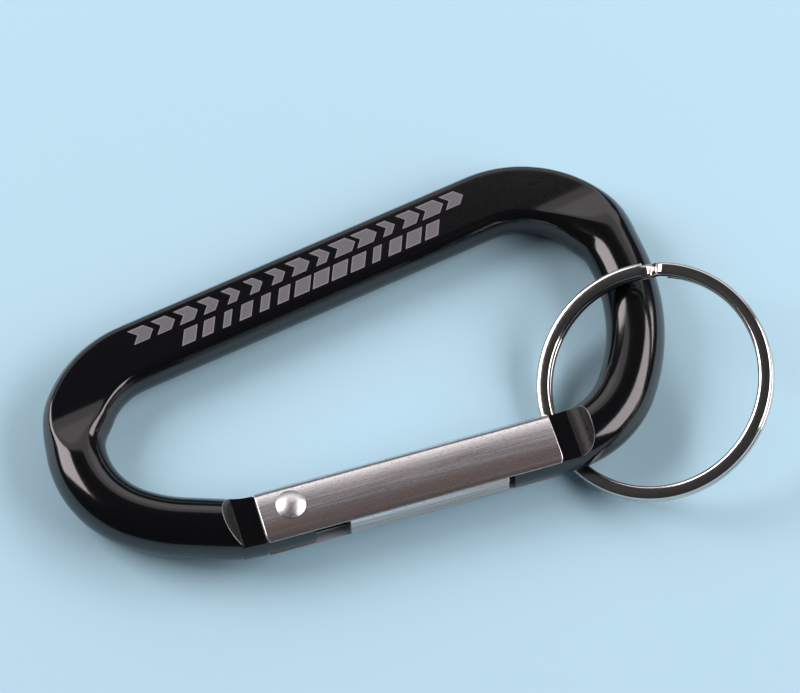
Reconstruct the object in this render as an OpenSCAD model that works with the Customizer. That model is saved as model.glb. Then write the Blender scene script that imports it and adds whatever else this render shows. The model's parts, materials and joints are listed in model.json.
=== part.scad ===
// Keyring carabiner: a bent aluminium bar, a sprung tube gate and a split ring.
// It lies on a table, whose top is z = 0. The gate runs along X, with its hinge at -X.

/* [Bar] */
// Diameter of the round bar
bar_d = 7.4; // [7.2:0.1:7.8]
// Length of the straight spine
spine_len = 48.5; // [46:0.5:52]
// Slope of the spine against the gate, in degrees
spine_slope = 9.6; // [9:0.1:10.5]
// Bend radius next to the nose
nose_bend_r = 11.7; // [11:0.1:12.5]
// Bend radius of the wide end
end_bend_r = 26.4; // [25:0.2:28]
// Turn of the wide end, in degrees
end_bend_turn = 45; // [43:0.5:47]
// Bend radius between the wide end and the spine
shoulder_r = 12.5; // [12:0.1:13]
// Bend radius of the lead to the hinge
lead_r = 20; // [18:0.5:22]
// Turn of the narrow end, in degrees
heel_turn = 134; // [132:0.5:136]
// Slope of the lead where it meets the hinge tongue, in degrees
lead_slope = 19.4; // [18:0.1:21]
// Straight length of the lead
lead_len = 5.3; // [4.5:0.1:6]

/* [Pressed spine] */
// Thickness across the pressed flats
flat_t = 5.3; // [5:0.1:6]
// How far pressing spreads the bar to each side
spread = 0.7; // [0.4:0.1:0.8]

/* [Gate] */
// Length of the gate tube
gate_len = 37.7; // [37.4:0.1:38]
// Width of the gate tube
gate_w = 7.4; // [7.3:0.1:7.6]
// Height of the gate tube
gate_h = 5; // [4.9:0.1:5.2]
// Wall of the gate tube
gate_wall = 0.7; // [0.6:0.05:0.8]
// Angle the gate opens, in degrees
gate_open = 35; // [20:1:36]
// Length of the outer slot at the hinge
hinge_slot = 10.4; // [9:0.1:11]
// Length of the outer slot at the nose
nose_slot = 7.1; // [6.8:0.1:7.6]

/* [Rivet] */
// Diameter of the rivet's shank
rivet_d = 2.4; // [2:0.1:2.6]
// Diameter of the rivet's heads
rivet_head_d = 3.7; // [3.4:0.1:4]
// Height of the rivet's domed heads
rivet_head_h = 0.8; // [0.5:0.1:0.9]

/* [Split ring] */
// Outer diameter of the split ring
ring_d = 30; // [29.6:0.1:30.4]
// Width of the ring's wire, along the radius
ring_wire_w = 1.8; // [1.6:0.1:1.9]
// Thickness of one turn of the ring
ring_turn_t = 1.1; // [1:0.05:1.15]
// Tilt of the ring where it lies, in degrees
ring_tilt = 23.2; // [22.8:0.1:23.6]

/* [Hidden] */
$fn = 64;

// Where the gate's centre line is, and where the bar's nose bend starts
gate_y = -14.35;
nose_x = 17.1;
bar_r = bar_d / 2;

// Gate
gate_x = -22;
gate_end_x = gate_x + gate_len;
cavity_w = gate_w - 2 * gate_wall;
cavity_h = gate_h - 2 * gate_wall;
gate_corner = 1.3;
cavity_corner = 0.3;
fit_gap = 0.1;
tongue_t = cavity_h - 2 * fit_gap;
running_gap = 0.05;

// Hinge: the pivot sits a little inward of the tube's centre line
pivot_inset = 4;
pivot_inward = 0.5;
pivot = [gate_x + pivot_inset, gate_y + pivot_inward];
hub_gap = 0.08;
hub_r = cavity_w / 2 - pivot_inward - hub_gap;
tongue_reach = 2;
slot_back = 0.45;
inner_slot = pivot.x - slot_back - gate_x;

// The tongue that the gate turns on, milled from the bar's end, and the ramp up from it
hinge_tongue_w = 7.2;
hinge_flat_x = gate_x - 2.85;
hinge_ramp = 1.5;
root_depth = 0.2;

// The milling cut: its width, its run along the tongue and how steep the ramp's top is
mill_w = 16;
mill_run = 12;
mill_steep = 1.5;

// Nose
nose_tip_gap = 0.8;
nose_tip_x = gate_end_x - nose_slot + nose_tip_gap;
nose_step_gap = 0.15;
nose_step_x = gate_end_x + nose_step_gap;
nose_overlap = 1;
nose_inner_y = gate_y + cavity_w / 2 - fit_gap;
nose_top_flat_x = 17.9;
nose_under_flat_x = 19.6;
nose_ramp = 2.4;

// Plunger, spring and the pressed stop that the spring pushes on
plunger_head_d = cavity_h - 2 * fit_gap;
plunger_head_t = 1;
plunger_gap = 0.03;
plunger_x = pivot.x + tongue_reach + plunger_gap;
stem_d = 1.5;
stem_len = 7;
spring_d = 3.2;
spring_bore = 2;
spring_x = plunger_x + plunger_head_t;
spring_len = 17;
stop_d = 2.4;
dimple_d = 1.4;
dimple_depth = 0.5;
stop_x = spring_x + spring_len + stop_d / 2;

// Depths that only carry a cut clear of what it cuts
past = 1;
through = 10;

// The bar's route, from the nose round to the hinge, as stations [x, y, heading]
function bend(s, r, a) =
    [s.x + r * (sin(s.z + a) - sin(s.z)), s.y + r * (cos(s.z) - cos(s.z + a)), s.z + a];
function ahead(s, d) = [s.x + d * cos(s.z), s.y + d * sin(s.z), s.z];

nose_turn = 180 + spine_slope - 90 - end_bend_turn;
lead_turn = 180 - spine_slope - lead_slope - heel_turn;
route_nose = [nose_x, gate_y, 0];
route_end = bend(route_nose, nose_bend_r, nose_turn);
route_shoulder = bend(route_end, end_bend_r, end_bend_turn);
route_spine = bend(route_shoulder, shoulder_r, 90);
route_heel = ahead(route_spine, spine_len);
// The heel's radius is the one that brings the lead down to the hinge tongue
heel_out = route_heel.z + heel_turn;
lead_rise = 0.65;
heel_drop = route_heel.y - gate_y - lead_rise
    + lead_r * (cos(heel_out) - cos(lead_slope)) - lead_len * sin(lead_slope);
heel_r = heel_drop / (cos(heel_out) - cos(route_heel.z));
route_lead = bend(route_heel, heel_r, heel_turn);
route_straight = bend(route_lead, lead_r, lead_turn);
route_level = ahead(route_straight, lead_len);
// The bar's last bend turns it in line with the gate
level_r = lead_rise / (1 - cos(lead_slope));
route_hinge = bend(route_level, level_r, lead_slope);

bend_step = 6;
function bend_stations(s, r, a) =
    let (n = ceil(a / bend_step)) [for (i = [1:n]) bend(s, r, a * i / n)];
stations = concat(
    [route_nose],
    bend_stations(route_nose, nose_bend_r, nose_turn),
    bend_stations(route_end, end_bend_r, end_bend_turn),
    bend_stations(route_shoulder, shoulder_r, 90),
    [route_heel],
    bend_stations(route_heel, heel_r, heel_turn),
    bend_stations(route_lead, lead_r, lead_turn),
    [route_level],
    bend_stations(route_level, level_r, lead_slope)
);

// The press flattens the spine and runs out round both bends, by heading
press_start = 94;
press_end = 264;
press_run = 26;
function smooth(t) = let (u = max(0, min(1, t))) u * u * (3 - 2 * u);
function press(heading) =
    smooth((heading - press_start) / press_run) * smooth((press_end - heading) / press_run);

// One section of the bar: two round sides joined by flats
side_steps = 12;
round_share = 0.992;
function section(p) = let (
    h = bar_r * round_share * (1 - p) + flat_t / 2 * p,
    top = asin(h / bar_r)
) [
    for (side = [1, -1], i = [0:side_steps])
        let (a = -top + 2 * top * i / side_steps)
        [side * (spread * p + bar_r * cos(a)), side * bar_r * sin(a)]
];
function place(s, q) = [s.x - q.x * sin(s.z), s.y + q.x * cos(s.z), q.y];

// How the bar lies: it rests on both ends of the pressed part, and the ring lifts its gate side
rest_left = bend(route_heel, heel_r, press_end - route_heel.z);
rest_right = bend(route_end, end_bend_r, press_start - route_end.z);
lift = 2.8;

// Ring, and where its wire passes under the nose
ring_mid_r = ring_d / 2 - ring_wire_w / 2;
ring_edge = 0.4;
turn_merge = 0.02;
ring_pierce = [17.5, -14.7];
ring_bearing = 19;
ring_wire_z = ring_turn_t * cos(ring_tilt) + ring_wire_w / 2 * sin(ring_tilt)
    - ring_edge * (cos(ring_tilt) + sin(ring_tilt) - 1);

bar_black = [0.06, 0.06, 0.07];
silver = [0.78, 0.78, 0.8];
steel = [0.7, 0.7, 0.72];

// Puts what was drawn round the bar's centre plane on the table
module lie() {
    translate([rest_left.x, rest_left.y, bar_r])
        rotate(a = -lift, v = [rest_right.x - rest_left.x, rest_right.y - rest_left.y, 0])
        translate([-rest_left.x, -rest_left.y, 0])
        children();
}

// Draws an outline lying in the YZ plane and runs it along X
module along_x(x, length) {
    translate([x, 0, 0]) rotate([90, 0, 90]) linear_extrude(length) children();
}

module rounded(w, h, r) {
    for (x = [-1, 1], y = [-1, 1]) translate([x * (w / 2 - r), y * (h / 2 - r)]) circle(r);
    square([w - 2 * r, h], center = true);
    square([w, h - 2 * r], center = true);
}

module bent_bar() {
    count = 2 * (side_steps + 1);
    last = len(stations) - 1;
    points = [for (s = stations) for (q = section(press(s.z))) place(s, q)];
    walls = [
        for (k = [0:last - 1], i = [0:count - 1])
            let (j = (i + 1) % count)
            [k * count + i, (k + 1) * count + i, (k + 1) * count + j, k * count + j]
    ];
    nose_cap = [for (i = [0:count - 1]) i];
    hinge_cap = [for (i = [count - 1:-1:0]) last * count + i];
    polyhedron(points = points, faces = concat([nose_cap], walls, [hinge_cap]));
}

// What the mill takes off one face: everything above a tongue, with a ramp up to the bar
module milled_off(flat_x, ramp, dir) {
    translate([0, gate_y, 0]) rotate([90, 0, 0])
        linear_extrude(mill_w, center = true)
        polygon([
            [flat_x, tongue_t / 2],
            [flat_x + dir * ramp, bar_r],
            [flat_x + dir * ramp * mill_steep, bar_r + ramp],
            [flat_x - dir * mill_run, bar_r + ramp],
            [flat_x - dir * mill_run, tongue_t / 2]
        ]);
}

module hinge_tongue() {
    stop_angle = 90 + asin(slot_back / hub_r) + gate_open;
    shoulder = hub_r * [cos(stop_angle), sin(stop_angle)];
    inner = hinge_tongue_w / 2 - pivot_inward;
    outer = hinge_tongue_w / 2 + pivot_inward;
    rise = (inner - shoulder.y) / cos(gate_open);
    back = hinge_flat_x - root_depth - pivot.x;
    translate([pivot.x, pivot.y, 0]) intersection() {
        linear_extrude(tongue_t, center = true) {
            polygon([
                [back, -outer],
                [tongue_reach, -outer],
                [tongue_reach, sqrt(hub_r * hub_r - tongue_reach * tongue_reach)],
                shoulder,
                [shoulder.x - rise * sin(gate_open), inner],
                [back, inner]
            ]);
            intersection() {
                circle(hub_r);
                translate([-hub_r, -hub_r]) square([hub_r + tongue_reach, 2 * hub_r]);
            }
        }
        translate([0, -pivot_inward, 0]) along_x(back, tongue_reach - back) circle(d = hinge_tongue_w);
    }
}

module nose_tongue() {
    intersection() {
        linear_extrude(tongue_t, center = true) {
            translate([nose_tip_x, gate_y - bar_r])
                square([nose_x + nose_overlap - nose_tip_x, nose_inner_y - gate_y + bar_r]);
            translate([nose_step_x, gate_y - bar_r])
                square([nose_x + nose_overlap - nose_step_x, bar_d]);
        }
        translate([0, gate_y, 0]) along_x(nose_tip_x, nose_x + nose_overlap - nose_tip_x)
            circle(d = bar_d);
    }
}

module body() {
    color(bar_black) lie() difference() {
        union() {
            difference() {
                bent_bar();
                milled_off(hinge_flat_x, hinge_ramp, -1);
                mirror([0, 0, 1]) milled_off(hinge_flat_x, hinge_ramp, -1);
            }
            hinge_tongue();
            nose_tongue();
        }
        milled_off(nose_top_flat_x, nose_ramp, 1);
        mirror([0, 0, 1]) milled_off(nose_under_flat_x, nose_ramp, 1);
        translate([pivot.x, pivot.y, 0])
            cylinder(d = rivet_d + 2 * running_gap, h = through, center = true);
    }
}

// One slot cut into the gate's end at start_x, on its outer (side -1) or inner (side 1) wall
module wall_slot(start_x, length, side) {
    translate([start_x, gate_y + side * gate_w / 2 - cavity_w / 4, -cavity_h / 2])
        cube([length, cavity_w / 2, cavity_h]);
}

module gate_sleeve() {
    color(silver) lie() difference() {
        union() {
            translate([0, gate_y, 0]) along_x(gate_x, gate_len) difference() {
                rounded(gate_w, gate_h, gate_corner);
                rounded(cavity_w, cavity_h, cavity_corner);
            }
            translate([stop_x, gate_y, -(cavity_h + gate_wall) / 2])
                cylinder(d = stop_d, h = cavity_h / 2);
        }
        wall_slot(gate_x - past, hinge_slot + past, -1);
        wall_slot(gate_x - past, inner_slot + past, 1);
        wall_slot(gate_end_x - nose_slot, nose_slot + past, -1);
        translate([pivot.x, pivot.y, 0]) cylinder(d = rivet_d, h = through, center = true);
        translate([stop_x, gate_y, -gate_h / 2 - past]) cylinder(d = dimple_d, h = dimple_depth + past);
    }
}

module rivet_head() {
    dome_r = (rivet_head_d * rivet_head_d / 4 + rivet_head_h * rivet_head_h) / (2 * rivet_head_h);
    intersection() {
        translate([0, 0, rivet_head_h - dome_r]) sphere(dome_r);
        cylinder(d = 2 * dome_r, h = rivet_head_h + past);
    }
}

module hinge_rivet() {
    color(silver) lie() translate([pivot.x, pivot.y, 0]) {
        cylinder(d = rivet_d, h = gate_h, center = true);
        translate([0, 0, gate_h / 2]) rivet_head();
        mirror([0, 0, 1]) translate([0, 0, gate_h / 2]) rivet_head();
    }
}

module plunger() {
    color(steel) lie() translate([0, gate_y, 0]) {
        along_x(plunger_x, plunger_head_t) circle(d = plunger_head_d);
        along_x(plunger_x, plunger_head_t + stem_len) circle(d = stem_d);
    }
}

module gate_spring() {
    color(steel) lie() translate([0, gate_y, 0]) along_x(spring_x, spring_len) difference() {
        circle(d = spring_d);
        circle(d = spring_bore);
    }
}

module split_ring() {
    color(silver)
        translate([ring_pierce.x, ring_pierce.y, ring_wire_z])
        rotate([0, 0, ring_bearing])
        rotate([0, -ring_tilt, 0])
        translate([ring_mid_r, 0, 0])
        rotate_extrude($fn = 96)
        for (side = [-1, 1]) translate([ring_mid_r, side * (ring_turn_t - turn_merge) / 2])
            rounded(ring_wire_w, ring_turn_t + turn_merge, ring_edge);
}

body();
gate_sleeve();
hinge_rivet();
plunger();
gate_spring();
split_ring();
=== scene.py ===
# Keyring carabiner: a bent black bar, a sprung tube gate and a split ring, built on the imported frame
import json
import math

import bmesh
import bpy
from mathutils import Matrix, Vector


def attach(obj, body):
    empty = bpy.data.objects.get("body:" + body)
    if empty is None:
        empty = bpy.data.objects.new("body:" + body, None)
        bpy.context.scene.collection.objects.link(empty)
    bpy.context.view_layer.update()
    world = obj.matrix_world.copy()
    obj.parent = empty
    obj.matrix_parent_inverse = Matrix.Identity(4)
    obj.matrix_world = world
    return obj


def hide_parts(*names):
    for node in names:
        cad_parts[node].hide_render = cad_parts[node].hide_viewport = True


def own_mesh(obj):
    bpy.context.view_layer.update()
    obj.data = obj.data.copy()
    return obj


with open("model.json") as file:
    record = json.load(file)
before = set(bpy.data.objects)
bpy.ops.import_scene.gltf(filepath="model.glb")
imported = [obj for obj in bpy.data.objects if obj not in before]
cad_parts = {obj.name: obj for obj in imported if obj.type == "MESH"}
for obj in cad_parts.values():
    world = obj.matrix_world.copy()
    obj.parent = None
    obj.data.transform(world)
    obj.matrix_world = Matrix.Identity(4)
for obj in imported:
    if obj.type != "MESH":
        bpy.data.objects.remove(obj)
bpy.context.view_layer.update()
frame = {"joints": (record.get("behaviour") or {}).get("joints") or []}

mm = 0.001
joints = {joint["name"]: joint for joint in frame["joints"]}

# The bar's own frame: millimetres from the gate's pivot, x along the gate, z out of the flat side
pivot = Vector(joints["gate_hinge"]["pos_m"])
barZ = Vector(joints["gate_hinge"]["axis"])
barX = Vector(joints["plunger_slide"]["axis"])
barTurn = Matrix((barX, barZ.cross(barX), barZ)).transposed()
barPlace = Matrix.Translation(pivot) @ barTurn.to_4x4() @ Matrix.Scale(mm, 4)


# ---- small helpers ----

def addObject(name, bm, place=None):
    # turns a bmesh into an object that sits at the origin
    if place:
        bmesh.ops.transform(bm, matrix=place, verts=bm.verts)
    mesh = bpy.data.meshes.new(name)
    bm.to_mesh(mesh)
    bm.free()
    obj = bpy.data.objects.new(name, mesh)
    bpy.context.scene.collection.objects.link(obj)
    return obj


def applyModifiers(obj):
    graph = bpy.context.evaluated_depsgraph_get()
    graph.update()
    mesh = bpy.data.meshes.new_from_object(obj.evaluated_get(graph))
    obj.modifiers.clear()
    obj.data = mesh


def carve(obj, cutter, operation="DIFFERENCE"):
    modifier = obj.modifiers.new("carve", "BOOLEAN")
    modifier.operation = operation
    modifier.solver = "EXACT"
    modifier.material_mode = "TRANSFER"
    modifier.object = cutter
    applyModifiers(obj)
    bpy.data.objects.remove(cutter)


def prism(name, outline, thickness, place=None, material=None):
    # a flat outline in x and y, run up z and centred on it
    bm = bmesh.new()
    face = bm.faces.new([bm.verts.new((x, y, -thickness / 2)) for x, y in outline])
    made = bmesh.ops.extrude_face_region(bm, geom=[face])
    top = [v for v in made["geom"] if isinstance(v, bmesh.types.BMVert)]
    bmesh.ops.translate(bm, verts=top, vec=(0, 0, thickness))
    bmesh.ops.recalc_face_normals(bm, faces=bm.faces)
    obj = addObject(name, bm, place)
    if material:
        obj.data.materials.append(material)
    return obj


def boxPrism(name, low, high, material=None):
    outline = [(low[0], low[1]), (high[0], low[1]), (high[0], high[1]), (low[0], high[1])]
    middle = Matrix.Translation((0, 0, (low[2] + high[2]) / 2))
    return prism(name, outline, high[2] - low[2], middle, material)


def arc(centre, radius, start, end, steps):
    return [(centre[0] + radius * math.cos(math.radians(start + (end - start) * i / steps)),
             centre[1] + radius * math.sin(math.radians(start + (end - start) * i / steps)))
            for i in range(steps + 1)]


def turned(name, outline, steps=48):
    # spins an outline of (radius, height) round z
    bm = bmesh.new()
    verts = [bm.verts.new((radius, 0, height)) for radius, height in outline]
    edges = [bm.edges.new(pair) for pair in zip(verts, verts[1:])]
    bmesh.ops.spin(bm, geom=verts + edges, cent=(0, 0, 0), axis=(0, 0, 1), dvec=(0, 0, 0),
                   angle=2 * math.pi, steps=steps, use_merge=True, use_duplicate=False)
    bmesh.ops.remove_doubles(bm, verts=bm.verts, dist=0.0005)
    bmesh.ops.recalc_face_normals(bm, faces=bm.faces)
    return addObject(name, bm)


def smooth(obj, angle):
    for face in obj.data.polygons:
        face.use_smooth = True
    obj.data.set_sharp_from_angle(angle=math.radians(angle))
    bm = bmesh.new()
    bm.from_mesh(obj.data)
    for edge in bm.edges:
        if len({f.material_index for f in edge.link_faces}) == 2:
            edge.smooth = False
    bm.to_mesh(obj.data)
    bm.free()


def finishPiece(obj, place, node, body, angle=35):
    # puts a piece that was made in millimetres in its place and hands it to its CAD body
    obj.data.transform(place)
    smooth(obj, angle)
    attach(obj, body)
    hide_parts(node)
    print("made", obj.name, len(obj.data.polygons), "faces")


# ---- material helpers ----

def colour(hexCode, alpha=1.0):
    # sRGB hex to linear
    parts = [int(hexCode[i:i + 2], 16) / 255 for i in (1, 3, 5)]
    return tuple(c / 12.92 if c <= 0.04045 else ((c + 0.055) / 1.055) ** 2.4 for c in parts) + (alpha,)


def addNode(tree, kind, inputs=None, **settings):
    node = tree.nodes.new(kind)
    for name, value in settings.items():
        setattr(node, name, value)
    for key, value in (inputs or {}).items():
        if isinstance(value, bpy.types.NodeSocket):
            tree.links.new(value, node.inputs[key])
        else:
            node.inputs[key].default_value = value
    return node


def newMaterial(name):
    material = bpy.data.materials.new(name)
    material.use_nodes = True
    tree = material.node_tree
    return material, tree, tree.nodes["Principled BSDF"]


def barCoordinates(tree, stretch=(1, 1, 1)):
    # millimetres along the gate, across it and out of the flat side
    place = addNode(tree, "ShaderNodeTexCoord")
    scale = [mm * s for s in stretch]
    return addNode(tree, "ShaderNodeMapping",
                   {"Vector": place.outputs["Object"], "Location": pivot,
                    "Rotation": barTurn.to_euler(), "Scale": scale},
                   vector_type="TEXTURE").outputs["Vector"]


# ---- body ----

marks = {
    "spineX": 10.83,        # middle of the spine, from the pivot
    "spineY": 30.31,
    "slope": 9.6,
    # across the spine, half height, length, pitch, and kind: 0 is chevrons, anything else slanted bars
    "rows": [(1.35, 1.05, 46.5, 3.1, 0.0), (-1.5, 1.0, 36.4, 2.6, 0.5)],
    "outline": 0.13,
    "hatch": 0.3,           # coarser than a real laser's 0.05 mm raster, so that it shows
}

body = {
    "barRadius": 3.7,
    "flatHalf": 2.65,       # half the thickness of the pressed spine
    "spread": 0.7,          # how far pressing pushes each side out
    "edgeSoftness": 0.22,   # rounding between flat and side
    "noseX": 35.1,
    "gateLine": -0.5,       # the tube's centre line is this far outward of the pivot
    "legs": [(11.7, 54.6), (26.4, 45), (12.5, 90), (None, 48.5), (12.057, 134), (20, 17), (None, 5.3),
             (11.45, 19.4)],
    "bendStep": 2.0,
    "sides": 96,
    "dieEdge": 4.4,         # the upper die covers the spine and ends this far inward of its middle
    "dieRun": 7.0,
    "pressStart": 94,
    "pressEnd": 264,
    "pressRun": 26,
}


def easeInOut(t):
    t = max(0, min(1, t))
    return t * t * (3 - 2 * t)


def pressed(heading):
    return (easeInOut((heading - body["pressStart"]) / body["pressRun"])
            * easeInOut((body["pressEnd"] - heading) / body["pressRun"]))


def dieHeight(point):
    # how high the bar's top may stand after pressing, by its distance inward from the spine
    slope = math.radians(marks["slope"])
    inward = (point.x - marks["spineX"]) * math.sin(slope) - (point.y - marks["spineY"]) * math.cos(slope)
    rise = easeInOut((inward - body["dieEdge"]) / body["dieRun"])
    return body["flatHalf"] + (body["barRadius"] + 0.05 - body["flatHalf"]) * rise


def pressSection(verts, centre, heading):
    # moves one round section of the bar to its pressed shape
    press = pressed(heading)
    radius = body["barRadius"]
    half = radius * (1 - press) + body["flatHalf"] * press
    left = Vector((-math.sin(math.radians(heading)), math.cos(math.radians(heading)), 0))
    top = min(math.degrees(math.asin(min(1, half / radius))), 82)
    edge, band, reach = 50, 8, 5
    for v in verts:
        offset = v.co - centre
        across = offset.dot(left)
        angle = math.degrees(math.atan2(abs(offset.z), abs(across)))
        if angle < edge - band:
            turn = angle * (top - reach) / (edge - band)
        elif angle < edge + band:
            turn = top - reach + (angle - edge + band) * reach / band
        else:
            turn = top + reach + (angle - edge - band) * (90 - top - reach) / (90 - edge - band)
        turn = math.radians(min(turn, 90))
        # the side is an arc pushed out by the spread, and the flat cuts it off
        x, z = radius * math.cos(turn), radius * math.sin(turn)
        x += body["spread"] * press * min(1, x / (radius * math.cos(math.radians(top)) + 1e-6))
        side = 1 if across > 0 else -1
        rise = 1 if offset.z > 0 else -1
        if z > 1e-6:
            limit = dieHeight(centre + left * side * x) if rise > 0 else half
            over = max(0, min(1, 0.5 + (z - limit) / (2 * body["edgeSoftness"])))
            z = z * (1 - over) + limit * over - body["edgeSoftness"] * over * (1 - over)
        v.co = centre + left * side * x + Vector((0, 0, rise * z))


def alongGate(x):
    # lays something made along z on the gate's centre line
    return Matrix.Translation((x, body["gateLine"], 0)) @ Matrix.Rotation(math.radians(90), 4, "Y")


def sweepBar():
    bm = bmesh.new()
    bmesh.ops.create_circle(bm, segments=body["sides"], radius=body["barRadius"])
    centre, heading = Vector((body["noseX"], body["gateLine"], 0)), 0.0
    bmesh.ops.transform(bm, matrix=alongGate(body["noseX"]), verts=bm.verts)
    loop = list(bm.edges)
    sections = [(list(bm.verts), centre.copy(), heading)]
    for radius, amount in body["legs"]:
        steps = round(amount / body["bendStep"]) if radius else max(2, round(amount / 3))
        for i in range(steps):
            forward = Vector((math.cos(math.radians(heading)), math.sin(math.radians(heading)), 0))
            if radius:
                turn = amount / steps
                hub = centre + Vector((-forward.y, forward.x, 0)) * radius
                move = (Matrix.Translation(hub) @ Matrix.Rotation(math.radians(turn), 4, "Z")
                        @ Matrix.Translation(-hub))
                heading += turn
            else:
                move = Matrix.Translation(forward * amount / steps)
            made = bmesh.ops.extrude_edge_only(bm, edges=loop)["geom"]
            verts = [g for g in made if isinstance(g, bmesh.types.BMVert)]
            fresh = set(verts)
            loop = [g for g in made if isinstance(g, bmesh.types.BMEdge) and fresh.issuperset(g.verts)]
            bmesh.ops.transform(bm, matrix=move, verts=verts)
            centre = move @ centre
            sections.append((verts, centre.copy(), heading))
    for verts, middle, turn in sections:
        pressSection(verts, middle, turn)
    bmesh.ops.holes_fill(bm, edges=bm.edges, sides=0)
    bmesh.ops.recalc_face_normals(bm, faces=bm.faces)
    return addObject("bodyShell", bm)


ends = {
    "tongueHalf": 1.7,
    "hingeFlatX": -6.85,
    "hingeRamp": 1.5,
    "hingeTongueWidth": 7.2,
    "hubRadius": 2.42,
    "reach": 2.0,
    "slotBack": 0.45,
    "gateOpen": 35,
    "noseFlatTopX": 35.9,
    "noseFlatUnderX": 37.6,
    "noseRamp": 2.4,
    "noseTipX": 27.4,
    "noseStepX": 33.85,
    "noseInner": 2.4,       # inner side of the nose tongue
    "millWidth": 16,
    "edgeRound": 0.05,
    "cutterRidge": 0.22,    # from one ridge that the cutter left to the next
}


def millCutter(flatX, ramp, side, hollow, upper, material):
    # everything that the mill takes off one face, with a straight or a hollow ramp up to the bar
    low, high = ends["tongueHalf"], body["barRadius"]
    rise = high - low
    outline = [(flatX - side * 12, low)]
    if hollow:
        size = (ramp * ramp + rise * rise) / (2 * rise)
        reach = math.degrees(math.asin(min(1, ramp / size)))
        outline += [(x, z) for x, z in arc((flatX, low + size), size, -90, -90 + side * reach, 20)]
        outline += [(flatX + side * (ramp + 0.1), high + ramp)]
    else:
        outline += [(flatX, low), (flatX + side * ramp, high), (flatX + side * ramp * 1.5, high + ramp)]
    outline += [(flatX - side * 12, high + ramp)]
    stand = Matrix.Translation((0, body["gateLine"], 0)) @ Matrix.Rotation(math.radians(90), 4, "X")
    if not upper:
        stand = Matrix.Scale(-1, 4, (0, 0, 1)) @ stand
    cutter = prism("millCutter", outline, ends["millWidth"], stand, material)
    fixNormals(cutter)
    return cutter


def fixNormals(obj):
    bm = bmesh.new()
    bm.from_mesh(obj.data)
    bmesh.ops.remove_doubles(bm, verts=bm.verts, dist=0.0002)
    bmesh.ops.recalc_face_normals(bm, faces=bm.faces)
    bm.to_mesh(obj.data)
    bm.free()


def roundRod(name, startX, endX, diameter, material):
    bm = bmesh.new()
    bmesh.ops.create_cone(bm, cap_ends=True, segments=96, radius1=diameter / 2, radius2=diameter / 2,
                          depth=endX - startX)
    rod = addObject(name, bm, alongGate((startX + endX) / 2))
    rod.data.materials.append(material)
    return rod


def hingeTongue(material):
    hub, reach = ends["hubRadius"], ends["reach"]
    stop = 90 + math.degrees(math.asin(ends["slotBack"] / hub)) + ends["gateOpen"]
    shoulder = Vector((hub * math.cos(math.radians(stop)), hub * math.sin(math.radians(stop))))
    inner = ends["hingeTongueWidth"] / 2 + body["gateLine"]
    outer = ends["hingeTongueWidth"] / 2 - body["gateLine"]
    climb = (inner - shoulder.y) / math.cos(math.radians(ends["gateOpen"]))
    back = ends["hingeFlatX"] - 0.2
    corner = math.degrees(math.acos(reach / hub))
    outline = [(back, -outer), (reach, -outer)] + arc((0, 0), hub, corner, stop, 12)
    outline += [(shoulder.x - climb * math.sin(math.radians(ends["gateOpen"])), inner), (back, inner)]
    tongue = prism("hingeTongue", outline, 2 * ends["tongueHalf"], material=material)
    rod = roundRod("tongueRod", back - 1, reach + 1, ends["hingeTongueWidth"], material)
    carve(tongue, rod, "INTERSECT")
    return tongue


def noseTongue(material):
    radius, line = body["barRadius"], body["gateLine"]
    far = body["noseX"] + 0.7
    outline = [(ends["noseTipX"], line - radius), (far, line - radius), (far, line + radius),
               (ends["noseStepX"], line + radius), (ends["noseStepX"], ends["noseInner"]),
               (ends["noseTipX"], ends["noseInner"])]
    tongue = prism("noseTongue", outline, 2 * ends["tongueHalf"], material=material)
    rod = roundRod("noseRod", ends["noseTipX"] - 1, far + 1, 2 * radius - 0.03, material)
    carve(tongue, rod, "INTERSECT")
    return tongue


def makeBody(black, milled, burr):
    shell = sweepBar()
    shell.data.materials.append(black)
    for upper in (True, False):
        carve(shell, millCutter(ends["hingeFlatX"], ends["hingeRamp"], -1, False, upper, milled))
    carve(shell, hingeTongue(black), "UNION")
    carve(shell, noseTongue(black), "UNION")
    for upper in (True, False):
        flatX = ends["noseFlatTopX"] if upper else ends["noseFlatUnderX"]
        carve(shell, millCutter(flatX, ends["noseRamp"], 1, True, upper, milled))
    # the ramps keep the cutter's marks and a burr along their edge; the flats are polished like the bar
    shell.data.materials.append(burr)
    bm = bmesh.new()
    bm.from_mesh(shell.data)
    for face in bm.faces:
        if abs(face.calc_center_median().z) < ends["tongueHalf"] + 0.005:
            face.material_index = 0
    rims = [e for e in bm.edges if len({f.material_index for f in e.link_faces}) == 2
            and min(abs(v.co.z) for v in e.verts) > ends["tongueHalf"] + 0.02]
    bmesh.ops.bevel(bm, geom=rims, offset=ends["edgeRound"], segments=2, profile=0.5,
                    affect="EDGES", material=2)
    bm.to_mesh(shell.data)
    bm.free()
    shell.name = "bodyBar"
    return shell


# ---- gate ----

gate = {
    "startX": -4.0,
    "length": 37.7,
    "width": 7.4,
    "height": 5.0,
    "wall": 0.7,
    "corner": 1.3,
    "crown": 0.2,           # how much lower the cheek is at its edge than at its middle
    "hingeSlot": 10.4,
    "innerSlot": 3.55,
    "noseSlot": 7.1,
    "slotDepth": 1.5,       # the slots go through the side wall and a little further
    "cornerOuter": 1.0,     # plan rounding of the cheeks' corners
    "cornerInner": 0.5,
    "burr": 0.09,
    "fall": 0.0014,         # how strongly the shading bands run along the cheek's edges
}


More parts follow.
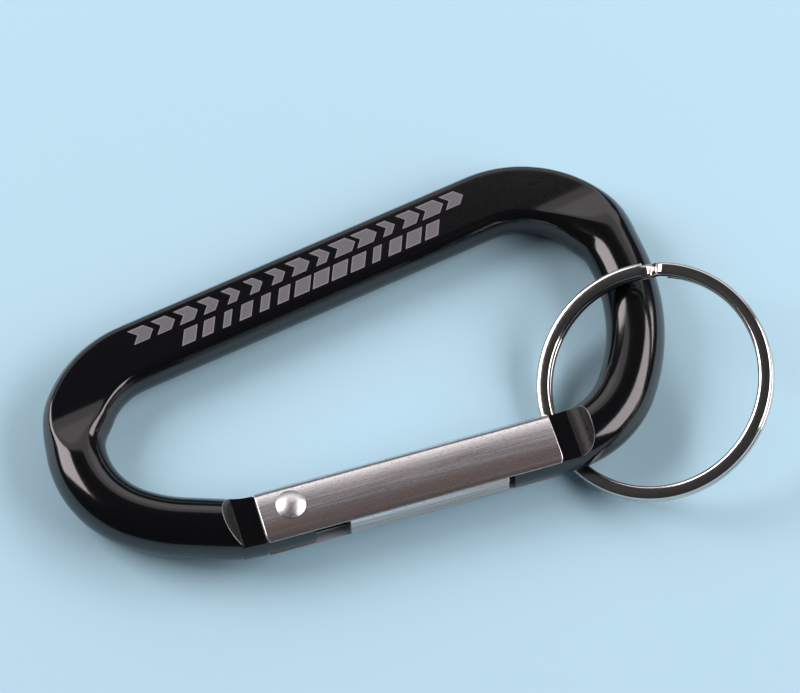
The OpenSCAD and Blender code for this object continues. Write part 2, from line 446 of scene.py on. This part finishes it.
def tubeSection(shrink):
    # the tube's round-cornered outline, with the cheeks slightly crowned
    half = gate["width"] / 2
    deep, wide = gate["height"] / 2 - gate["corner"], half - gate["corner"]
    bend, cheek = gate["corner"] - shrink, gate["height"] / 2 - shrink
    along = [wide * (i / 6 - 1) for i in range(1, 12)]
    outline = (arc((wide, deep), bend, 0, 90, 8) + [(-y, cheek) for y in along]
               + arc((-wide, deep), bend, 90, 180, 8) + arc((-wide, -deep), bend, 180, 270, 8)
               + [(y, -cheek) for y in along] + arc((wide, -deep), bend, 270, 360, 8))
    return [(y, z * (1 - 2 * gate["crown"] / gate["height"] * (y / half) ** 2)) for y, z in outline]


def makeGate(bare, cut, bore):
    line, half = body["gateLine"], gate["width"] / 2
    stand = (Matrix.Translation((gate["startX"] + gate["length"] / 2, line, 0))
             @ Matrix.Rotation(math.radians(90), 4, "Z") @ Matrix.Rotation(math.radians(90), 4, "X"))
    tube = prism("gateTube", tubeSection(0), gate["length"], stand, bare)
    carve(tube, prism("boreCutter", tubeSection(gate["wall"]), gate["length"] + 2, stand, bore))

    slotHalf = gate["height"] / 2 - gate["wall"]
    west, east = gate["startX"], gate["startX"] + gate["length"]
    south, north = line - half, line + half
    over, deep = 1.0, gate["slotDepth"]
    slots = [
        ((west - over, south - over), (west + gate["hingeSlot"], south + deep)),
        ((west - over, north - deep), (west + gate["innerSlot"], north + over)),
        ((east - gate["noseSlot"], south - over), (east + over, south + deep)),
    ]
    for low, high in slots:
        carve(tube, boxPrism("slotCutter", (*low, -slotHalf), (*high, slotHalf), cut))
    # the saw leaves the cheeks' corners rounded in plan
    small, large = gate["cornerInner"], gate["cornerOuter"]
    south, north = south - 0.02, north + 0.02
    west, east = west + 0.01, east - 0.01
    outline = (arc((west + large, south + large), large, 180, 270, 6)
               + arc((east - large, south + large), large, 270, 360, 6)
               + arc((east - small, north - small), small, 0, 90, 4)
               + arc((west + small, north - small), small, 90, 180, 4))
    carve(tube, prism("planCutter", outline, 8, material=cut), "INTERSECT")
    carve(tube, roundPost("rivetHole", (0, 0), rivet["shank"] / 2, 8, cut))
    dimple(tube, bare)
    # the saw's edges are left bright, with the corner rubbed off
    bm = bmesh.new()
    bm.from_mesh(tube.data)
    rims = [e for e in bm.edges if len({f.material_index for f in e.link_faces}) == 2]
    bmesh.ops.bevel(bm, geom=rims, offset=gate["burr"], segments=2, profile=0.5, affect="EDGES",
                    material=tube.data.materials.find(cut.name))
    bm.to_mesh(tube.data)
    bm.free()
    return tube


def roundPost(name, middle, radius, height, material, lift=0.0):
    bm = bmesh.new()
    bmesh.ops.create_cone(bm, cap_ends=True, segments=48, radius1=radius, radius2=radius, depth=height)
    post = addObject(name, bm, Matrix.Translation((*middle, lift)))
    post.data.materials.append(material)
    return post


spring = {
    "outer": 3.2,
    "bore": 2.0,
    "startX": 3.03,
    "length": 17.0,
    "turns": 12,
    "closedTurns": 1.5,
}

stop = {"diameter": 2.4, "x": 21.23, "dimple": 1.4, "depth": 0.5}


def dimple(tube, material):
    # the peg that the spring pushes on, pressed in from the hidden underside
    line, half = body["gateLine"], gate["height"] / 2
    radius = stop["diameter"] / 2
    peg = turned("stopPeg", [(0, -half + 0.35), (radius, -half + 0.35), (radius, -0.75),
                             (radius - 0.25, -0.35), (0, -0.35)])
    peg.data.transform(Matrix.Translation((stop["x"], line, 0)))
    peg.data.materials.append(material)
    carve(tube, peg, "UNION")
    carve(tube, roundPost("dimpleCutter", (stop["x"], line), stop["dimple"] / 2, 2 * stop["depth"],
                          material, -half))


# ---- rivet, plunger and spring ----

rivet = {"shank": 2.4, "head": 3.7, "rise": 0.8, "brim": 0.12}


def makeRivet():
    half, radius, rise = gate["height"] / 2, rivet["head"] / 2, rivet["rise"]
    brim = rivet["brim"]
    dome = (radius * radius + (rise - brim) ** 2) / (2 * (rise - brim))
    spanned = math.degrees(math.asin(radius / dome))
    cap = [(r, half + z) for r, z in arc((0, rise - dome), dome, 90, 90 - spanned, 10)]
    seat = half - gate["crown"]
    upper = [(max(0, r), z) for r, z in cap] + [(radius, seat), (rivet["shank"] / 2, seat)]
    lower = [(r, -z) for r, z in reversed(upper)]
    return turned("hingeRivetBody", upper + lower, 64)


plunger = {"x": 2.03, "head": 3.4, "headLength": 1.0, "stem": 1.5, "stemLength": 7.0, "chamfer": 0.15}


def makePlunger():
    head, stem, soft = plunger["head"] / 2, plunger["stem"] / 2, plunger["chamfer"]
    end = plunger["headLength"] + plunger["stemLength"]
    outline = [(0, 0), (head - soft, 0), (head, soft), (head, plunger["headLength"] - soft),
               (head - soft, plunger["headLength"]), (stem, plunger["headLength"]), (stem, end - soft),
               (stem - soft, end), (0, end)]
    pin = turned("plungerPin", outline, 48)
    pin.data.transform(alongGate(plunger["x"]))
    return pin


def makeSpring():
    # a wire section run along a helix, with a close-wound turn and a half at each end
    wire = (spring["outer"] - spring["bore"]) / 4
    coil = (spring["outer"] + spring["bore"]) / 4
    bm = bmesh.new()
    bmesh.ops.create_circle(bm, segments=12, radius=wire)
    bmesh.ops.rotate(bm, verts=bm.verts, cent=(0, 0, 0), matrix=Matrix.Rotation(math.radians(90), 3, "X"))
    bmesh.ops.translate(bm, verts=bm.verts, vec=(coil, 0, wire))
    close = 2 * wire * 1.02
    closedTurns = spring["closedTurns"]
    openTurns = spring["turns"] - 2 * closedTurns
    openPitch = (spring["length"] - 2 * wire - 2 * closedTurns * close) / openTurns
    section = list(bm.verts) + list(bm.edges)
    for turns, pitch in ((closedTurns, close), (openTurns, openPitch), (closedTurns, close)):
        steps = round(turns * 30)
        made = bmesh.ops.spin(bm, geom=section, cent=(0, 0, 0), axis=(0, 0, 1),
                              dvec=(0, 0, pitch * turns / steps), angle=2 * math.pi * turns, steps=steps,
                              use_merge=False, use_duplicate=False)
        section = made["geom_last"]
    bmesh.ops.holes_fill(bm, edges=bm.edges, sides=0)
    bmesh.ops.recalc_face_normals(bm, faces=bm.faces)
    coilObject = addObject("gateSpringCoil", bm)
    coilObject.data.transform(alongGate(spring["startX"]))
    return coilObject


# ---- split ring ----

ring = {
    "outer": 30.0,
    "wireWidth": 1.8,
    "turnThickness": 1.1,
    "edge": 0.5,
    "tilt": 23.2,
    "hingeAhead": 0.42,     # where the swing's axis is, from the middle of the wire under the nose
    "hingeAbove": 0.22,
    "joggleAt": 54.0,       # where the wire crosses from one turn to the other, in degrees round the ring
    "joggle": 6.5,
    "gap": 3.2,             # between the wire's end and the crossing
}
middleRadius = (ring["outer"] - ring["wireWidth"]) / 2


def ringPlace():
    pierce = Vector(joints["ring_lift"]["pos_m"])
    axis = Vector(joints["ring_lift"]["axis"])
    bearing = math.atan2(axis.x, -axis.y)
    ahead = Vector((math.cos(bearing), math.sin(bearing), 0)) * ring["hingeAhead"]
    pierce -= (ahead + Vector((0, 0, ring["hingeAbove"]))) * mm
    return (Matrix.Translation(pierce) @ Matrix.Rotation(bearing, 4, "Z")
            @ Matrix.Rotation(-math.radians(ring["tilt"]), 4, "Y") @ Matrix.Scale(mm, 4)
            @ Matrix.Translation((middleRadius, 0, 0)))


def makeRing():
    # one flat wire wound twice, clockwise and upwards
    bm = bmesh.new()
    bmesh.ops.create_grid(bm, x_segments=1, y_segments=1, size=0.5)
    thin = ring["turnThickness"] - 0.02
    bmesh.ops.scale(bm, vec=(ring["wireWidth"], thin, 1), verts=bm.verts)
    bmesh.ops.bevel(bm, geom=list(bm.verts), offset=ring["edge"], segments=5, profile=0.5,
                    affect="VERTICES", material=-1)
    edges = list(bm.edges)
    bmesh.ops.delete(bm, geom=list(bm.faces), context="FACES_ONLY")
    stand = (Matrix.Rotation(math.radians(ring["joggleAt"] - ring["joggle"] - ring["gap"]), 4, "Z")
             @ Matrix.Translation((middleRadius, 0, -ring["turnThickness"] / 2))
             @ Matrix.Rotation(math.radians(90), 4, "X"))
    bmesh.ops.transform(bm, matrix=stand, verts=bm.verts)
    start = -(360 - ring["joggle"] - ring["gap"])
    end = 360 - ring["gap"]
    step = 1.6
    steps = round((end - start) / step)
    half = ring["turnThickness"] / 2
    climb = [half * (2 * easeInOut((start + (end - start) * i / steps) / ring["joggle"]) - 1)
             for i in range(steps + 1)]
    for i in range(steps):
        made = bmesh.ops.extrude_edge_only(bm, edges=edges)["geom"]
        verts = [g for g in made if isinstance(g, bmesh.types.BMVert)]
        fresh = set(verts)
        edges = [g for g in made if isinstance(g, bmesh.types.BMEdge) and fresh.issuperset(g.verts)]
        move = (Matrix.Translation((0, 0, climb[i + 1] - climb[i]))
                @ Matrix.Rotation(-math.radians((end - start) / steps), 4, "Z"))
        bmesh.ops.transform(bm, matrix=move, verts=verts)
    bmesh.ops.holes_fill(bm, edges=bm.edges, sides=0)
    bmesh.ops.recalc_face_normals(bm, faces=bm.faces)
    return addObject("splitRingWire", bm)


# ---- materials ----

def markMask(tree):
    # two rows of laser-marked bars on the spine: chevrons above, slanted bars below
    def calc(operation, a, b=0.0, c=0.0):
        return addNode(tree, "ShaderNodeMath", {0: a, 1: b, 2: c}, operation=operation).outputs[0]

    spine = addNode(tree, "ShaderNodeMapping",
                    {"Vector": barCoordinates(tree), "Location": (marks["spineX"], marks["spineY"], 0),
                     "Rotation": (0, 0, math.radians(marks["slope"])), "Scale": (1, 1, 1)},
                    vector_type="TEXTURE")
    axes = addNode(tree, "ShaderNodeSeparateXYZ", {0: spine.outputs["Vector"]})
    along, across, out = axes.outputs
    total, outline = None, None
    for middle, half, length, pitch, kind in marks["rows"]:
        height = calc("SUBTRACT", across, middle)
        lean = calc("ABSOLUTE", height) if kind == 0 else height
        slanted = calc("MULTIPLY_ADD", lean, 0.9 if kind == 0 else -0.6, along)
        cells = calc("ADD", calc("DIVIDE", slanted, pitch), 0.5 * (round(length / pitch) % 2))
        number = calc("FLOOR", cells)
        random = addNode(tree, "ShaderNodeTexWhiteNoise", {"W": calc("ADD", number, kind)},
                         noise_dimensions="1D").outputs["Value"]
        inCell = calc("ABSOLUTE", calc("SUBTRACT", calc("FRACT", cells), 0.5))
        barHalf = calc("MULTIPLY_ADD", random, 0.22, 0.2)
        side = calc("MULTIPLY", calc("SUBTRACT", barHalf, inCell), pitch * 0.8)
        top = calc("SUBTRACT", half, calc("ABSOLUTE", height))
        end = calc("SUBTRACT", length / 2, calc("ABSOLUTE", slanted))
        depth = calc("MINIMUM", calc("MINIMUM", side, top), end)
        inside = calc("GREATER_THAN", depth, 0.0)
        rim = calc("MULTIPLY", inside, calc("LESS_THAN", depth, marks["outline"]))
        total = calc("MAXIMUM", total, inside) if total else inside
        outline = calc("MAXIMUM", outline, rim) if outline else rim
    upper = calc("GREATER_THAN", out, body["flatHalf"] - 0.15)
    lines = calc("SINE", calc("MULTIPLY", across, 2 * math.pi / marks["hatch"]))
    hatch = calc("MULTIPLY_ADD", lines, 0.18, 0.62)
    strength = calc("MAXIMUM", calc("MULTIPLY", total, hatch), outline)
    return calc("MULTIPLY", strength, upper)


def anodisedBlack():
    # black anodised aluminium: a dyed glassy oxide over a tumbled bar, near black with clean highlights
    material, tree, shader = newMaterial("anodisedBlack")
    grain = addNode(tree, "ShaderNodeTexNoise",
                    {"Vector": barCoordinates(tree), "Scale": 5.0, "Detail": 3.0, "Roughness": 0.6})
    wave = addNode(tree, "ShaderNodeTexNoise", {"Vector": barCoordinates(tree), "Scale": 0.35, "Detail": 1.0})
    mask = markMask(tree)
    tint = addNode(tree, "ShaderNodeMix", {"Factor": mask, "A": colour("#08080a"), "B": colour("#7c7c80")},
                   data_type="RGBA")
    tree.links.new(tint.outputs[2], shader.inputs["Base Color"])
    gloss = addNode(tree, "ShaderNodeMapRange",
                    {"Value": grain.outputs["Fac"], "From Min": 0.3, "From Max": 0.75,
                     "To Min": 0.08, "To Max": 0.17})
    rough = addNode(tree, "ShaderNodeMix", {"Factor": mask, "A": gloss.outputs[0], "B": 0.6})
    tree.links.new(rough.outputs[0], shader.inputs["Roughness"])
    shader.inputs["IOR"].default_value = 1.6
    fine = addNode(tree, "ShaderNodeBump",
                   {"Height": grain.outputs["Fac"], "Strength": 0.12, "Distance": 0.01 * mm})
    broad = addNode(tree, "ShaderNodeBump",
                    {"Height": wave.outputs["Fac"], "Strength": 0.2, "Distance": 0.03 * mm,
                     "Normal": fine.outputs[0]})
    tree.links.new(broad.outputs[0], shader.inputs["Normal"])
    return material


def anodisedMilled():
    # the same finish over a milled ramp, where the cutter left fine ridges
    material, tree, shader = newMaterial("anodisedMilled")
    ridges = addNode(tree, "ShaderNodeTexWave",
                     {"Vector": barCoordinates(tree), "Scale": 2 * math.pi / ends["cutterRidge"] / 20,
                      "Distortion": 0.6, "Detail": 1.0}, bands_direction="Y")
    grain = addNode(tree, "ShaderNodeTexNoise", {"Vector": barCoordinates(tree), "Scale": 8.0, "Detail": 2.0})
    shader.inputs["Base Color"].default_value = colour("#121214")
    shader.inputs["IOR"].default_value = 1.6
    gloss = addNode(tree, "ShaderNodeMapRange",
                    {"Value": grain.outputs["Fac"], "To Min": 0.16, "To Max": 0.34})
    tree.links.new(gloss.outputs[0], shader.inputs["Roughness"])
    bump = addNode(tree, "ShaderNodeBump",
                   {"Height": ridges.outputs["Fac"], "Strength": 0.7, "Distance": 0.06 * mm})
    tree.links.new(bump.outputs[0], shader.inputs["Normal"])
    return material


def burrAluminium():
    # the raised lip at a milled edge, where the finish is thin and catches the light
    material, tree, shader = newMaterial("burredEdge")
    grain = addNode(tree, "ShaderNodeTexNoise", {"Vector": barCoordinates(tree), "Scale": 6.0, "Detail": 2.0})
    tint = addNode(tree, "ShaderNodeMix",
                   {"Factor": grain.outputs["Fac"], "A": colour("#3c3b3d"), "B": colour("#c8c5c6")},
                   data_type="RGBA")
    tree.links.new(tint.outputs[2], shader.inputs["Base Color"])
    shader.inputs["Metallic"].default_value = 0.6
    shader.inputs["Roughness"].default_value = 0.35
    return material


def bareAluminium():
    # drawn aluminium tube: bright, with lengthwise draw lines, handling scratches and fine pits
    material, tree, shader = newMaterial("bareAluminium")
    lines = addNode(tree, "ShaderNodeTexNoise",
                    {"Vector": barCoordinates(tree, (14, 0.28, 0.28)), "Scale": 1.0, "Detail": 4.0,
                     "Roughness": 0.65})
    pits = addNode(tree, "ShaderNodeTexNoise",
                   {"Vector": barCoordinates(tree, (1.6, 1, 1)), "Scale": 4.5, "Detail": 3.0,
                    "Roughness": 0.7})
    shader.inputs["Metallic"].default_value = 0.93
    speck = addNode(tree, "ShaderNodeMapRange",
                    {"Value": pits.outputs["Fac"], "From Min": 0.56, "From Max": 0.68})
    tint = addNode(tree, "ShaderNodeMix",
                   {"Factor": speck.outputs[0], "A": colour("#e6e4e5"), "B": colour("#b7a09a")},
                   data_type="RGBA")
    # a painted warm reflection: a pinkish-brown tint laid along the outer half of the cheek, broken into
    # patches along the draw lines
    axes = addNode(tree, "ShaderNodeSeparateXYZ", {0: barCoordinates(tree)})
    outward = addNode(tree, "ShaderNodeMapRange",
                      {"Value": axes.outputs["Y"], "From Min": -0.8, "From Max": -2.4, "To Max": 0.8},
                      interpolation_type="SMOOTHSTEP")
    patches = addNode(tree, "ShaderNodeMapRange",
                      {"Value": lines.outputs["Fac"], "From Min": 0.35, "From Max": 0.6})
    amount = addNode(tree, "ShaderNodeMath",
                     {0: outward.outputs[0], 1: patches.outputs[0]}, operation="MULTIPLY")
    # mixes the painted reflection's warm tint over the metal's own colour
    paintedWarmReflection = addNode(tree, "ShaderNodeMix",
                   {"Factor": amount.outputs[0], "A": tint.outputs[2], "B": colour("#bb9484")},
                   data_type="RGBA")
    tree.links.new(paintedWarmReflection.outputs[2], shader.inputs["Base Color"])
    gloss = addNode(tree, "ShaderNodeMapRange",
                    {"Value": lines.outputs["Fac"], "From Min": 0.3, "From Max": 0.7,
                     "To Min": 0.18, "To Max": 0.32})
    tree.links.new(gloss.outputs[0], shader.inputs["Roughness"])
    drawn = addNode(tree, "ShaderNodeBump",
                    {"Height": lines.outputs["Fac"], "Strength": 0.25, "Distance": 0.01 * mm})
    pitted = addNode(tree, "ShaderNodeBump",
                     {"Height": speck.outputs[0], "Strength": 0.4, "Distance": 0.006 * mm,
                      "Normal": drawn.outputs[0]}, invert=True)
    # shaded as if each cheek fell away from its middle with the fourth power of the distance
    side = addNode(tree, "ShaderNodeMath", {0: axes.outputs["Y"], 1: -body["gateLine"]}, operation="ADD")
    square = addNode(tree, "ShaderNodeMath", {0: side.outputs[0], 1: side.outputs[0]}, operation="MULTIPLY")
    fourth = addNode(tree, "ShaderNodeMath",
                     {0: square.outputs[0], 1: square.outputs[0]}, operation="MULTIPLY")
    crowned = addNode(tree, "ShaderNodeBump",
                      {"Height": fourth.outputs[0], "Strength": 1.0, "Distance": gate["fall"] * mm,
                       "Normal": pitted.outputs[0]}, invert=True)
    tree.links.new(crowned.outputs[0], shader.inputs["Normal"])
    return material


def cutAluminium():
    # a fresh sawn edge: bright and a little rough
    material, tree, shader = newMaterial("cutAluminium")
    shader.inputs["Metallic"].default_value = 1.0
    grain = addNode(tree, "ShaderNodeTexNoise", {"Vector": barCoordinates(tree), "Scale": 9.0, "Detail": 2.0})
    tint = addNode(tree, "ShaderNodeMix",
                   {"Factor": grain.outputs["Fac"], "A": colour("#d5d3d3"), "B": colour("#f4f3f3")},
                   data_type="RGBA")
    tree.links.new(tint.outputs[2], shader.inputs["Base Color"])
    shader.inputs["Roughness"].default_value = 0.42
    return material


def rivetAluminium():
    # a soft rivet, closed with an orbiting tool that leaves a satin dome
    material, tree, shader = newMaterial("rivetAluminium")
    shader.inputs["Metallic"].default_value = 1.0
    grain = addNode(tree, "ShaderNodeTexNoise", {"Vector": barCoordinates(tree), "Scale": 2.6, "Detail": 3.0})
    tint = addNode(tree, "ShaderNodeMix",
                   {"Factor": grain.outputs["Fac"], "A": colour("#dddcdc"), "B": colour("#f2f1f1")},
                   data_type="RGBA")
    tree.links.new(tint.outputs[2], shader.inputs["Base Color"])
    gloss = addNode(tree, "ShaderNodeMapRange", {"Value": grain.outputs["Fac"], "To Min": 0.3, "To Max": 0.5})
    tree.links.new(gloss.outputs[0], shader.inputs["Roughness"])
    bump = addNode(tree, "ShaderNodeBump",
                   {"Height": grain.outputs["Fac"], "Strength": 0.35, "Distance": 0.03 * mm})
    tree.links.new(bump.outputs[0], shader.inputs["Normal"])
    return material


def plainSteel(name, light, dark, roughness):
    # turned or drawn steel, grey with fine streaks across the axis
    material, tree, shader = newMaterial(name)
    shader.inputs["Metallic"].default_value = 1.0
    streaks = addNode(tree, "ShaderNodeTexNoise",
                      {"Vector": barCoordinates(tree, (0.15, 2, 2)), "Scale": 1.0, "Detail": 3.0})
    tint = addNode(tree, "ShaderNodeMix",
                   {"Factor": streaks.outputs["Fac"], "A": colour(dark), "B": colour(light)},
                   data_type="RGBA")
    tree.links.new(tint.outputs[2], shader.inputs["Base Color"])
    gloss = addNode(tree, "ShaderNodeMapRange",
                    {"Value": streaks.outputs["Fac"], "To Min": roughness - 0.06, "To Max": roughness + 0.08})
    tree.links.new(gloss.outputs[0], shader.inputs["Roughness"])
    return material


def nickelPlate():
    # bright nickel over barrel-polished steel: warm, mirror-like, with faint ripples and hairlines
    material, tree, shader = newMaterial("nickelPlate")
    place = addNode(tree, "ShaderNodeTexCoord")
    ripple = addNode(tree, "ShaderNodeTexNoise",
                     {"Vector": place.outputs["Object"], "Scale": 0.5 / mm, "Detail": 2.0})
    hair = addNode(tree, "ShaderNodeTexNoise",
                   {"Vector": place.outputs["Object"], "Scale": 5 / mm, "Detail": 3.0})
    shader.inputs["Metallic"].default_value = 1.0
    tint = addNode(tree, "ShaderNodeMix",
                   {"Factor": ripple.outputs["Fac"], "A": colour("#cdc4bd"), "B": colour("#ddd8d3")},
                   data_type="RGBA")
    tree.links.new(tint.outputs[2], shader.inputs["Base Color"])
    gloss = addNode(tree, "ShaderNodeMapRange",
                    {"Value": hair.outputs["Fac"], "To Min": 0.05, "To Max": 0.16})
    tree.links.new(gloss.outputs[0], shader.inputs["Roughness"])
    bump = addNode(tree, "ShaderNodeBump",
                   {"Height": ripple.outputs["Fac"], "Strength": 0.2, "Distance": 0.03 * mm})
    tree.links.new(bump.outputs[0], shader.inputs["Normal"])
    return material


# ---- build ----

black, milled, burr = anodisedBlack(), anodisedMilled(), burrAluminium()
bare, cut, riveted = bareAluminium(), cutAluminium(), rivetAluminium()
turnedSteel = plainSteel("turnedSteel", "#b4b4b6", "#8c8c90", 0.3)
springSteel = plainSteel("springSteel", "#96969a", "#6c6c70", 0.36)
nickel = nickelPlate()

finishPiece(makeBody(black, milled, burr), barPlace, "body", "frame", 24)

# the tube's inside is given dark grey metal colours as painted shade for the hollow bore
tube = makeGate(bare, cut, plainSteel("boreAluminiumPaintedShade", "#3d3b3f", "#242327", 0.55))
finishPiece(tube, barPlace, "gate_sleeve", "gate", 28)

head = makeRivet()
head.data.materials.append(riveted)
finishPiece(head, barPlace, "hinge_rivet", "gate")

pin = makePlunger()
pin.data.materials.append(turnedSteel)
finishPiece(pin, barPlace, "plunger", "driver")

coil = makeSpring()
coil.data.materials.append(springSteel)
finishPiece(coil, barPlace, "gate_spring", "gate", 60)
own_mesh(coil)

wire = makeRing()
wire.data.materials.append(nickel)
finishPiece(wire, ringPlace(), "split_ring", "ring", 50)


# ---- stage ----

view = {
    "elevation": 62.0,      # of the camera, from the bar's own plane
    "bearing": 16.9,        # the gate climbs to the right by this much
    "target": (19.39, 18.2, 0),
    "distance": 450.0,
    "lens": 161.8,
    "floor": "#b3dceb",
}


def softbox(name, bearing, elevation, distance, width, height, radiance, tint="#ffffff"):
    # bearing is clockwise from straight ahead of the camera, and a radiance of 1 looks white
    data = bpy.data.lights.new(name, "AREA")
    data.shape = "RECTANGLE"
    data.size, data.size_y = width, height
    data.energy = radiance * math.pi * width * height
    data.color = colour(tint)[:3]
    light = bpy.data.objects.new(name, data)
    bpy.context.scene.collection.objects.link(light)
    turn = math.radians(view["bearing"] + bearing)
    flat = Vector((math.sin(turn), math.cos(turn), 0)) * math.cos(math.radians(elevation))
    away = flat + Vector((0, 0, math.sin(math.radians(elevation))))
    light.location = away * distance
    light.rotation_euler = away.to_track_quat("Z", "Y").to_euler()
    return light


def makeStage():
    bm = bmesh.new()
    bmesh.ops.create_grid(bm, x_segments=1, y_segments=1, size=1.5)
    floor = addObject("floor", bm)
    material, tree, shader = newMaterial("paleTable")
    shader.inputs["Base Color"].default_value = colour(view["floor"])
    shader.inputs["Roughness"].default_value = 0.55
    floor.data.materials.append(material)

    softbox("leftSoftbox", -72, 34, 0.7, 0.46, 0.46, 6.5, "#fff4f7")
    softbox("rightSoftbox", 88, 34, 0.7, 0.8, 0.42, 5.5, "#fff4f7")
    softbox("backPanel", 0, 36, 0.9, 1.3, 0.6, 0.8, "#fff8fa")
    softbox("backPanelLow", 0, 30, 0.95, 1.3, 0.36, 0.4, "#fff8fa")

    world = bpy.data.worlds.new("studio")
    world.use_nodes = True
    world.node_tree.nodes["Background"].inputs["Color"].default_value = colour("#8f9499")
    world.node_tree.nodes["Background"].inputs["Strength"].default_value = 0.15
    bpy.context.scene.world = world

    camera = bpy.data.objects.new("camera", bpy.data.cameras.new("camera"))
    bpy.context.scene.collection.objects.link(camera)
    up = math.radians(view["elevation"])
    look = (Matrix.Translation(view["target"]) @ Matrix.Rotation(-math.radians(view["bearing"]), 4, "Z")
            @ Matrix.Rotation(math.radians(90) - up, 4, "X") @ Matrix.Translation((0, 0, view["distance"])))
    placed = Matrix.Translation(pivot) @ barTurn.to_4x4() @ Matrix.Diagonal((mm, mm, mm, 1)) @ look
    where, turn, size = placed.decompose()
    camera.location = where
    camera.rotation_euler = turn.to_euler()
    camera.data.lens = view["lens"]
    camera.data.clip_start = 0.01
    bpy.context.scene.camera = camera
    bpy.context.scene.view_settings.view_transform = "Standard"
    print("stage is set")


makeStage()
